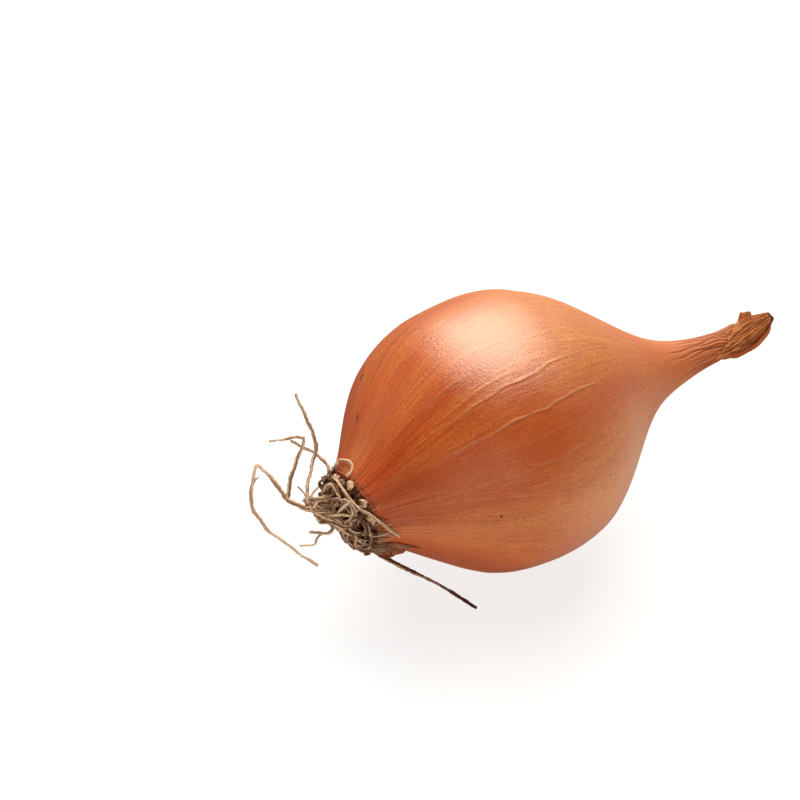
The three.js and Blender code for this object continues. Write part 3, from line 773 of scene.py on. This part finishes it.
def fringe_reach(angle):
    """How far the ragged edge reaches along the bulb in mm: a crumpled outline, and over it
    the longest of many uneven teeth, each falling off evenly to both sides of its middle."""
    low = bell(wrap(angle - LOW_SIDE), LOW_SPREAD)
    reach = (0.05 + 0.55 * low) * (1 + 0.8 * crumple(5 * angle, 0 * angle, 80)) + 0.05
    for i in range(SHREDS):
        middle = (i + chance(i, 81)) / SHREDS * 2 * np.pi
        width = 0.02 + 0.07 * chance(i, 82)
        lower = bell(wrap(middle - LOW_SIDE), LOW_SPREAD)
        length = (0.25 + 1.3 * chance(i, 83) ** 2) * (0.25 + 1.4 * lower)
        reach = np.maximum(reach, length * (1 - np.abs(wrap(angle - middle)) / width))
    return reach, low


v, angle = grid(np.linspace(0, 1, FRINGE_ROWS + 1), full_circle(FRINGE_COLUMNS))
reach, low = fringe_reach(angle)
t = (-FRINGE_INSET + (FRINGE_INSET + reach) * v) / STATION_STEP
lift = 0.02 + (0.05 + 0.16 * low) * v**3 * (0.5 + 0.5 * np.sin(17 * angle + 2 * np.sin(5 * angle)))
lift = lift + 0.04 * np.sin(60 * angle + 5 * np.sin(7 * angle)) * (0.4 + v)
outer = over_rim(t, angle, lift + FRINGE_THICKNESS * (1 - 0.5 * v))
sheets = [sheet(outer, over_rim(t, angle, lift), True)]
places = [both(pattern_place(t, angle))]
lives = [both((1 - low) * (0.85 + 0.15 * v))]

for upper, spread, length, stand in FLAPS:
    v, u = grid(np.linspace(0, 1, 34), np.linspace(0, 1, 24))
    ragged = 1 + 0.07 * np.sin(9 * u + upper) + 0.05 * np.sin(23 * u)
    angle = np.radians(upper + spread * u * (1 - 0.93 * v**1.7) + 1.5 * np.sin(6 * v + upper))
    t = (-0.5 + (length + 0.5) * v * (0.72 + 0.28 * np.cos(2.6 * u)) * ragged) / STATION_STEP
    bulge = stand * np.sin(np.pi * 0.96 * v**1.8)
    lift = 0.12 + bulge * u**0.7 + 0.12 * crumple(6 * u, 3 * v, 85) * u**0.3
    sheets.append(sheet(over_rim(t, angle, lift + FRINGE_THICKNESS), over_rim(t, angle, lift), False))
    places.append(both(pattern_place(t, angle)))
    lives.append(both(0.15 + 0.35 * u * v))

# Dead skin: thin and brittle, purplish brown with paler fibres, copper where it holds on.
DEAD_DARK = "#2A1410"
DEAD_BROWN = "#86502E"
DEAD_PALE = "#B98A66"
DEAD_COPPER = "#A8481A"
dead_skin, tree = new_material("brittle_dead_skin")
place = field(tree, "around", "Vector")
lines = stretched(tree, place, 34.0, 3.0, 3.0, 0.6)
patches = stretched(tree, place, 9.0, 6.0, 2.0)
living = math(tree, "MULTIPLY", field(tree, "life"), between(tree, patches, 0.35, 0.6, 0.6, 1.0))
colour = layered(
    tree, DEAD_DARK,
    (between(tree, lines, 0.38, 0.6), DEAD_BROWN),
    (between(tree, patches, 0.5, 0.7, 0.0, 0.7), DEAD_PALE),
    (living, DEAD_COPPER),
)
surface(tree, {"Base Color": colour, "Roughness": 0.6, "Normal": bumpy(tree, lines, 0.5, 0.00012)})
new_piece("torn_skin_edge", sheets, {"around": np.concatenate(places), "life": np.concatenate(lives)},
          dead_skin, "skin_collar")

# ---- root plate and stubs ----------------------------------------------------------------
# The short corky stem at the bottom of the bulb that the roots grow from. Round its rim
# stand roots that were cut or broken short, pale where they were cut.

PLATE_RADIUS, PLATE_HEIGHT = 6.1, 1.3
PLATE_START = 0.15  # from the first station to the plate's flat side
STUB_RADIUS = 0.58

# Each stub: degrees round the plate, length in mm and lightness.
STUBS = (
    (66, 1.5, 0.9), (79, 1.2, 0.75), (97, 2.3, 0.7), (125, 2.2, 0.6), (148, 2.0, 0.55), (176, 1.4, 0.4),
    (20, 1.8, 0.7), (232, 2.2, 0.1), (262, 1.2, 0.2), (300, 1.6, 0.35), (335, 1.5, 0.5),
)

root_middle, root_along, root_side, root_up, _ = station(0.0)
root_out = -root_along


def at_plate(offset, spread, angle):
    """Point offset mm out from the root end and spread mm from its middle line at an angle."""
    offset, spread, angle = np.broadcast_arrays(offset, spread, angle)
    return (root_middle + root_out * offset[..., None] + root_side * (spread * np.cos(angle))[..., None]
            + root_up * (spread * np.sin(angle))[..., None])


def smooth_path(points, count):
    """count points spaced evenly along the Catmull-Rom curve through a root's points, with
    its ends carried on straight by one more point each."""
    points = np.asarray(points, float)
    rows = np.concatenate([[2 * points[0] - points[1]], points, [2 * points[-1] - points[-2]]])
    fine = smooth(rows, np.linspace(1, len(points), 24 * len(points)))
    length = np.concatenate([[0], np.cumsum(np.linalg.norm(np.diff(fine, axis=0), axis=1))])
    even = np.linspace(0, length[-1], count)
    return np.stack([np.interp(even, length, fine[:, k]) for k in range(3)], -1)


def root(points, start_radius, end_radius, series, tone, change=0.0, sides=8, step=0.3, knots=0.16):
    """A dried root: its closed skin, its lightness and the depth of its furrows. Each ring is
    its middle plus radius times the direction round it, the radius tapering and swelling
    into knots, with two shrunken furrows that twist. Its lightness carries painted shade
    down among other roots, close to the plate's face."""
    points = np.asarray(points, float)
    length = np.linalg.norm(np.diff(points, axis=0), axis=1).sum()
    count = max(int(length / step), 6)
    path = smooth_path(points, count)
    along = unit(np.gradient(path, axis=0))
    level = np.linalg.svd(along)[2][-1]
    first = unit(np.cross(along, level))
    second = np.cross(along, first)
    s = np.linspace(0, 1, count)[:, None]
    mm = s * length
    turn_round = full_circle(sides)
    a, b, c, d, e = (phase(k, series) for k in range(5))
    swell = (np.sin(2.1 * mm + a) + np.sin(3.7 * mm + b) + 0.7 * np.sin(7.3 * mm + c)) / 2.7
    furrow = -np.cos(2 * turn_round + 0.35 * mm + 0.8 * np.sin(0.9 * mm) + d)
    radius = (start_radius + (end_radius - start_radius) * s) * (1 + knots * swell) * (1 - 0.2 * furrow)
    kink = start_radius * (0.14 * np.sin(1.9 * mm + e) + 0.07 * np.sin(6.1 * mm + b))
    rings = (path[:, None] + first[:, None] * (radius * np.cos(turn_round) + kink)[..., None]
             + second[:, None] * (radius * np.sin(turn_round) - 0.6 * kink)[..., None])
    rings[-1] = rings[-2] + 0.1 * (rings[-1] - rings[-2])
    rings = np.concatenate([rings, 0.1 * rings[-1:].mean(1, keepdims=True) + 0.9 * rings[-1:]])
    furrow, s = np.concatenate([furrow, furrow[-1:]]), np.concatenate([s, s[-1:]])
    away = rings - root_middle
    out = away @ root_out
    spread = np.linalg.norm(away - out[..., None] * root_out, axis=-1)
    # painted shade: darker close to the plate's face, in among the other roots
    shaded_in_tangle = (1 - ramp(out, 1.2, 3.3)) * (1 - ramp(spread, 6.0, 8.0))
    return loft(rings), with_poles((tone + change * s) * (1 - 0.88 * shaded_in_tangle)), with_poles(furrow)


def root_piece(name, roots):
    """One piece of many dried roots."""
    shapes, tones, furrows = zip(*roots)
    new_piece(name, shapes, {"tone": np.concatenate(tones), "furrow": np.concatenate(furrows)},
              dried_root, "root_tuft")


# Dried root: pale bark, shrunken on a stringy core, with patches of dirt, painted shade in
# its furrows and painted shade deep down in the tangle.
ROOT_PALE = "#DDBF9E"
ROOT_STRAW = "#B2845C"
ROOT_DIRT_AND_SHADE = "#502410"
ROOT_DARK = "#3A1206"
dried_root, tree = new_material("dried_root_bark")
object_place = add(tree, "TexCoord").outputs["Object"]
tone = field(tree, "tone")
dirt = noise(tree, object_place, 900.0, 3.0, 0.6)
bark = noise(tree, object_place, 3600.0)
colour = layered(
    tree, ROOT_STRAW,
    (between(tree, bark, 0.35, 0.65), ROOT_PALE),
    (between(tree, dirt, 0.48, 0.7, 0.0, 0.75), ROOT_DIRT_AND_SHADE),
    # painted shade in the furrows of the roots and in the hollows of the plate
    (between(tree, field(tree, "furrow"), -0.1, 0.45, 0.0, 0.9), ROOT_DIRT_AND_SHADE),
    # dark roots, and the painted shade deep in the tangle and on the plate
    (between(tree, tone, 0.5, 0.0, 0.0, 0.92), ROOT_DARK),
    (between(tree, tone, 0.5, 1.0, 0.0, 0.7), ROOT_PALE),
)
surface(tree, {"Base Color": colour, "Roughness": 0.7, "Specular IOR Level": 0.2,
               "Normal": bumpy(tree, bark, 0.5, 0.00008)})

# The plate is a low dome with a bumpy corky face and a ragged rim: height and radius, each
# as a share of the whole, from its flat side to its middle.
dome = np.array([[0, 0.4], [0, 0.95], [0.12, 1.0], [0.3, 0.99], [0.55, 0.92], [0.8, 0.74], [0.95, 0.5],
                 [1.04, 0.25], [1.06, 0.05]])
level, angle = grid(np.linspace(0, len(dome) - 1, 44), full_circle(160))
profile = smooth(dome, level)
bumps = 0.2 * crumple(4 * angle, 2.5 * level, 90)
rings = at_plate(PLATE_START + profile[..., 0] * PLATE_HEIGHT + bumps * ramp(level, 1.5, 3),
                 profile[..., 1] * (PLATE_RADIUS + bumps * (1 - ramp(level, 2, 6))), angle)
# The plate is painted dark as the shade under the tangle that covers it, darker still in the hollows of its
# bumps.
new_piece("root_plate", [loft(rings)],
          {"tone": with_poles(np.full(level.shape, 0.12)), "furrow": with_poles(-4 * bumps)},
          dried_root, "root_tuft")

stubs = []
for i, (degrees, length, lightness) in enumerate(STUBS):
    lean, base = np.radians(degrees), 0.84 * PLATE_RADIUS
    points = [at_plate(PLATE_START + 0.6, base, lean),
              at_plate(PLATE_START + 0.85, base + 0.6 * length, lean),
              at_plate(PLATE_START + 0.75, base + 1.15 * length, lean + 0.04)]
    stubs.append(root(points, STUB_RADIUS, 0.9 * STUB_RADIUS, i + 200, lightness - 0.15, 0.35,
                      18, 0.1, 0.24))
root_piece("cut_stubs", stubs)

# ---- matted and bundled roots ------------------------------------------------------------
# Dried roots that lie across the plate in a tangle, fine fibres that stick out over its rim,
# and the roots that shrank together into one knot beside it. All are stringy and bent.

MATTED_ROOTS, FINE_MATTED_ROOTS, RIM_FIBRES, BUNDLED_ROOTS = 30, 52, 70, 12
SHORT_ROOT_RADIUS = 0.36
GOLDEN_ANGLE = 2.39996  # between one root and the next round the plate
TANGLE_RADIUS = PLATE_RADIUS + 0.6
BUNDLE = np.array([-34.1, -4.4, 24.1])
BUNDLE_LENGTH = np.array([-0.9, 2.6, 2.2])

# The roots that lie on top of the tangle, each by its points, radius and lightness.
UPPER_ROOTS = (
    ([[-29.3, -8.3, 28.2], [-30.4, -9.9, 29.8], [-30.9, -8.8, 27.9], [-31.1, -6.9, 24.8], [-31, -4, 20.7],
      [-30.4, -1, 16.7]], 0.2, 0.9),
    ([[-29.4, -3.4, 23.4], [-30.2, -7.7, 27.8], [-30.1, -9.3, 28.7], [-29.7, -9.9, 27.3],
      [-29.6, -8.7, 24.7], [-30, -7.5, 22.9], [-29.3, -3.1, 17.9]], 0.33, 0.65),
    ([[-30, 1.2, 20.2], [-30.9, -1.7, 25.1], [-31, -3.9, 28.3], [-30.9, -5.6, 29.3], [-30.7, -6.5, 28.5],
      [-29.6, -5.1, 24.8]], 0.34, 0.6),
    ([[-30.2, 1.4, 17.7], [-30.9, -2.3, 22.8], [-30.9, -4.7, 25.5], [-30.6, -6.7, 27.5], [-30.2, -7, 25.8],
      [-29.3, -3.6, 20.3]], 0.3, 0.55),
    ([[-33.8, -5.2, 23.4], [-31.3, -5.3, 20.9], [-29.8, -6.7, 19.6], [-28.6, -8.3, 18.4],
      [-27.6, -9.3, 17.9]], 0.3, 0.5),
)


def matted_path(i, series, count):
    """Points of one matted root: from the plate's face it rises, turns in a spiral step of
    its own length and curl, and lies over, flatter towards the rim."""
    angle = i * GOLDEN_ANGLE
    spread = 0.9 * PLATE_RADIUS * np.sqrt((i + 0.5) / count)
    bend, curl = 6.28 * chance(i, series + 1), 2.2 * (chance(i, series + 2) - 0.5)
    stride = 1 + 0.9 * chance(i, series + 3)
    rise = np.array([-0.5, 0.9, 1.4 + 0.7 * chance(i, series + 4), 1.6 + 1.0 * chance(i, series + 5),
                     0.9 + 1.4 * chance(i, series + 6), 0.3 + 1.8 * chance(i, series + 7)])
    u, v = spread * np.cos(angle), spread * np.sin(angle)
    points = []
    for k, height in enumerate(rise):
        if k > 1:
            u += stride * np.cos(bend + curl * k)
            v += stride * np.sin(bend + curl * k)
        over = max(np.hypot(u, v) / TANGLE_RADIUS, 1.0)
        u, v = u / over, v / over
        low = 1 - 0.7 * (np.hypot(u, v) / TANGLE_RADIUS) ** 2
        points.append(at_plate(PLATE_START + 1 + height * (low if height > 0 else 1), np.hypot(u, v),
                               np.arctan2(v, u)))
    return points


def rim_path(i):
    """Points of one fibre from the plate's rim outwards over the edge of the skin, longer on
    the lower side and crowded towards it in the 1.7th power of their even share."""
    turned = 2 * (i + chance(i, 61)) / RIM_FIBRES - 1
    angle = LOW_SIDE + np.pi * turned * np.abs(turned) ** 0.7
    low = bell(wrap(angle - LOW_SIDE), 0.9)
    length = (0.5 + 2.2 * chance(i, 62) ** 2) * (0.35 + 1.05 * low)
    drift = (chance(i, 63) - 0.5) * 0.35
    lift = 0.15 + 0.9 * chance(i, 64) * (0.5 + 0.5 * low)
    return [at_plate(PLATE_START + 0.5, 0.8 * PLATE_RADIUS, angle),
            at_plate(PLATE_START + 0.7 + lift, 1.02 * PLATE_RADIUS, angle + 0.3 * drift),
            over_rim(0.1 * length, angle + 0.6 * drift, 0.25 + lift),
            over_rim(0.3 * length, angle + drift, 0.12 + 0.6 * lift * chance(i, 65))]


roots = []
for i in range(MATTED_ROOTS):
    roots.append(root(matted_path(i, 20, MATTED_ROOTS), SHORT_ROOT_RADIUS, 0.6 * SHORT_ROOT_RADIUS, i + 300,
                      0.3 + 0.45 * chance(i, 301)))
for i in range(FINE_MATTED_ROOTS):
    roots.append(root(matted_path(i, 40, FINE_MATTED_ROOTS), 0.22, 0.1, i + 400,
                      0.15 + 0.7 * chance(i, 401), sides=6))
for i in range(RIM_FIBRES):
    radius = 0.06 + 0.12 * chance(i, 66) ** 2
    roots.append(root(rim_path(i), radius, 0.4 * radius, i + 700, 0.1 + 0.7 * chance(i, 67) ** 2, 0.1, 5))
for i in range(BUNDLED_ROOTS):
    angle = i * GOLDEN_ANGLE + 1
    base = at_plate(PLATE_START + 0.6, 0.7 * PLATE_RADIUS * np.sqrt((i + 1) / BUNDLED_ROOTS), angle)
    drift = np.array([chance(i, 31), chance(i, 32), chance(i, 33)]) - 0.5
    lift = base + 1.8 * root_out + 2.2 * drift
    end = BUNDLE + (chance(i, 35) - 0.5) * BUNDLE_LENGTH + 0.8 * drift
    bent = lift + 0.55 * (end - lift) + drift
    past = end + 0.5 * chance(i, 34) * (end - bent)
    roots.append(root([base, lift, bent, end, past], SHORT_ROOT_RADIUS, 0.8 * SHORT_ROOT_RADIUS, i + 500,
                      0.45 + 0.4 * chance(i, 501)))
for i, (points, radius, lightness) in enumerate(UPPER_ROOTS):
    roots.append(root(points, radius * 1.1, radius * 0.8, i + 550, lightness, sides=12))
root_piece("matted_roots", roots)

# ---- long roots --------------------------------------------------------------------------
# The few roots that kept their length, wiry and kinked: one runs straight down past the
# belly, one makes a wide loop, others stand up beside the shoulder or curl on the rim.

LONG_ROOT_RADIUS = 0.29

# Each by the points that it passes through, with its lightness at the base, the change of
# that towards the tip, and its thickness beside that of the others.
LONG_ROOTS = (
    # down past the belly, straight, with its tip just above the ground
    ([[-33.5, -5.4, 23.3], [-31.4, -4.9, 21.2], [-29.9, -7.2, 20.1], [-27.9, -8.7, 17.8],
      [-26.2, -9.9, 16.2], [-22.9, -12.1, 13.5], [-16.7, -13.9, 7.5], [-10.9, -16, 0.9]], 0.6, -0.6, 1.15),
    # the wide loop: out, up to a kink and back down, with a hair on it
    ([[-28.8, -4.8, 22.6], [-32.7, -4.4, 23.5], [-35.1, -3.8, 24.6], [-37.4, -1.8, 26], [-38.2, 0.7, 27.6],
      [-39.2, 3, 28.8], [-39.8, 3.9, 29.2], [-41, 2.8, 28], [-42.1, 1.3, 26.1], [-42.5, 0.2, 24.6],
      [-42.1, -1.1, 23.4], [-41.1, -3.2, 21.4], [-39.6, -4.7, 20.2], [-37.6, -7, 18.2], [-35.5, -9, 16.6]],
     0.6, 0.4, 1.1),
    ([[-41.3, 2.2, 27.3], [-40.7, 2.5, 27.8], [-40, 2.5, 28.2]], 0.7, 0.0, 0.4),
    # up from the loop, with a sharp bend at its top
    ([[-37.3, -1.9, 25.9], [-36.1, -0.1, 27.5], [-34.4, 1.6, 29], [-32.7, 3.1, 30.2], [-31.6, 4.2, 31.1],
      [-32.5, 4.6, 31.6], [-34.5, 4.9, 31.8], [-37.2, 5.5, 31.8]], 0.6, 0.2, 0.95),
    # straight up beside the shoulder, with two reddish hairs at its foot
    ([[-28.8, -4.6, 22.4], [-32.4, -4.9, 23.1], [-34.5, -3.6, 24.7], [-34, -1.9, 26.5], [-32.4, 0.1, 28.4],
      [-30.4, 2.4, 30.5], [-30.3, 3.6, 32], [-30.5, 5.3, 33.9], [-31.1, 8.4, 37.3]], 0.55, 0.25, 1.15),
    ([[-34.3, -2.8, 25.5], [-34.7, -1.8, 26.3], [-35.3, -0.7, 27]], 0.6, 0.2, 0.65),
    ([[-34, -2.9, 25.6], [-33.1, -2.5, 26.3], [-32, -2.4, 26.9]], 0.6, 0.2, 0.8),
    # leaning away over the far side
    ([[-29.7, -1, 24.7], [-28.9, 1.6, 26.1], [-29.6, 3.7, 27], [-31.1, 5.3, 27.8],
      [-33.1, 6.8, 29.1]], 0.5, 0.2, 1.0),
    # low crooked root with its side branch
    ([[-28.8, -5.2, 22.6], [-32, -5.1, 23.1], [-32.2, -6.6, 22.8], [-32.5, -7.7, 22.3], [-33.6, -7.9, 22.1],
      [-34.8, -7.4, 22.6], [-36.2, -6.9, 22.8]], 0.6, 0.2, 1.0),
    ([[-34.2, -7.7, 22.3], [-35.2, -8, 22.1], [-36.1, -8.5, 21.4], [-38.3, -7.7, 21.5]], 0.6, 0.2, 0.75),
    # across the tangle and the rim towards the belly, with small hairs near its tip
    ([[-29.3, -0.6, 26.2], [-30.3, -4.5, 30], [-30.8, -7.5, 31.5], [-30.6, -9.4, 31.2],
      [-30.1, -10.5, 30.4], [-29.3, -11.3, 29.1], [-27.7, -11.1, 27], [-26.6, -12, 25.8],
      [-25.3, -12.7, 24.2], [-23.4, -13.1, 21.7]], 0.7, 0.1, 0.85),
    ([[-26.2, -12.3, 25.3], [-25.9, -12.1, 26.1]], 0.5, 0.0, 0.3),
    ([[-25.6, -12.6, 24.5], [-25, -12.7, 24.9], [-24.5, -12.8, 24.6]], 0.5, 0.0, 0.35),
    ([[-24.8, -12.8, 23.7], [-24.6, -12.8, 24.6]], 0.5, 0.0, 0.3),
    ([[-24.2, -13, 22.6], [-23.5, -13.2, 22.8]], 0.5, 0.0, 0.3),
    # the small curl on the upper rim
    ([[-29.9, -1.4, 25.6], [-28.6, -1.1, 28.2], [-27.8, -0.5, 28.4], [-27.2, -1.3, 29.4],
      [-26.9, -2.5, 30.1], [-27.1, -3.8, 30.3], [-27.8, -4.5, 30], [-28.6, -4.6, 29.5]], 0.85, 0.1, 0.9),
)


def clear_of_bulb(points, margin):
    """Points of a root pushed straight out from the bulb's middle line where they are less
    than margin above its skin. The foot is the last station that a point is beyond."""
    t = np.arange(0, 12.05, 0.1)
    middle, along, _, _, radius = station(t)
    moved = []
    for point in np.asarray(points, float):
        beyond = ((point - middle) * along).sum(1)
        k = len(t) - 1 if (beyond >= 0).all() else max(int(np.argmax(beyond < 0)) - 1, 0)
        away = point - middle[k]
        away = away - along[k] * (away @ along[k])
        short = radius[k] + margin - np.linalg.norm(away)
        moved.append(point + unit(away) * short if short > 0 and beyond[0] > -0.4 else point)
    return moved


roots = []
for i, (points, lightness, change, thickness) in enumerate(LONG_ROOTS):
    radius = LONG_ROOT_RADIUS * thickness
    roots.append(root(clear_of_bulb(points, 0.5), 1.15 * radius, 0.7 * radius, i + 600,
                      lightness - 0.06, change, 12, 0.2))
root_piece("long_roots", roots)
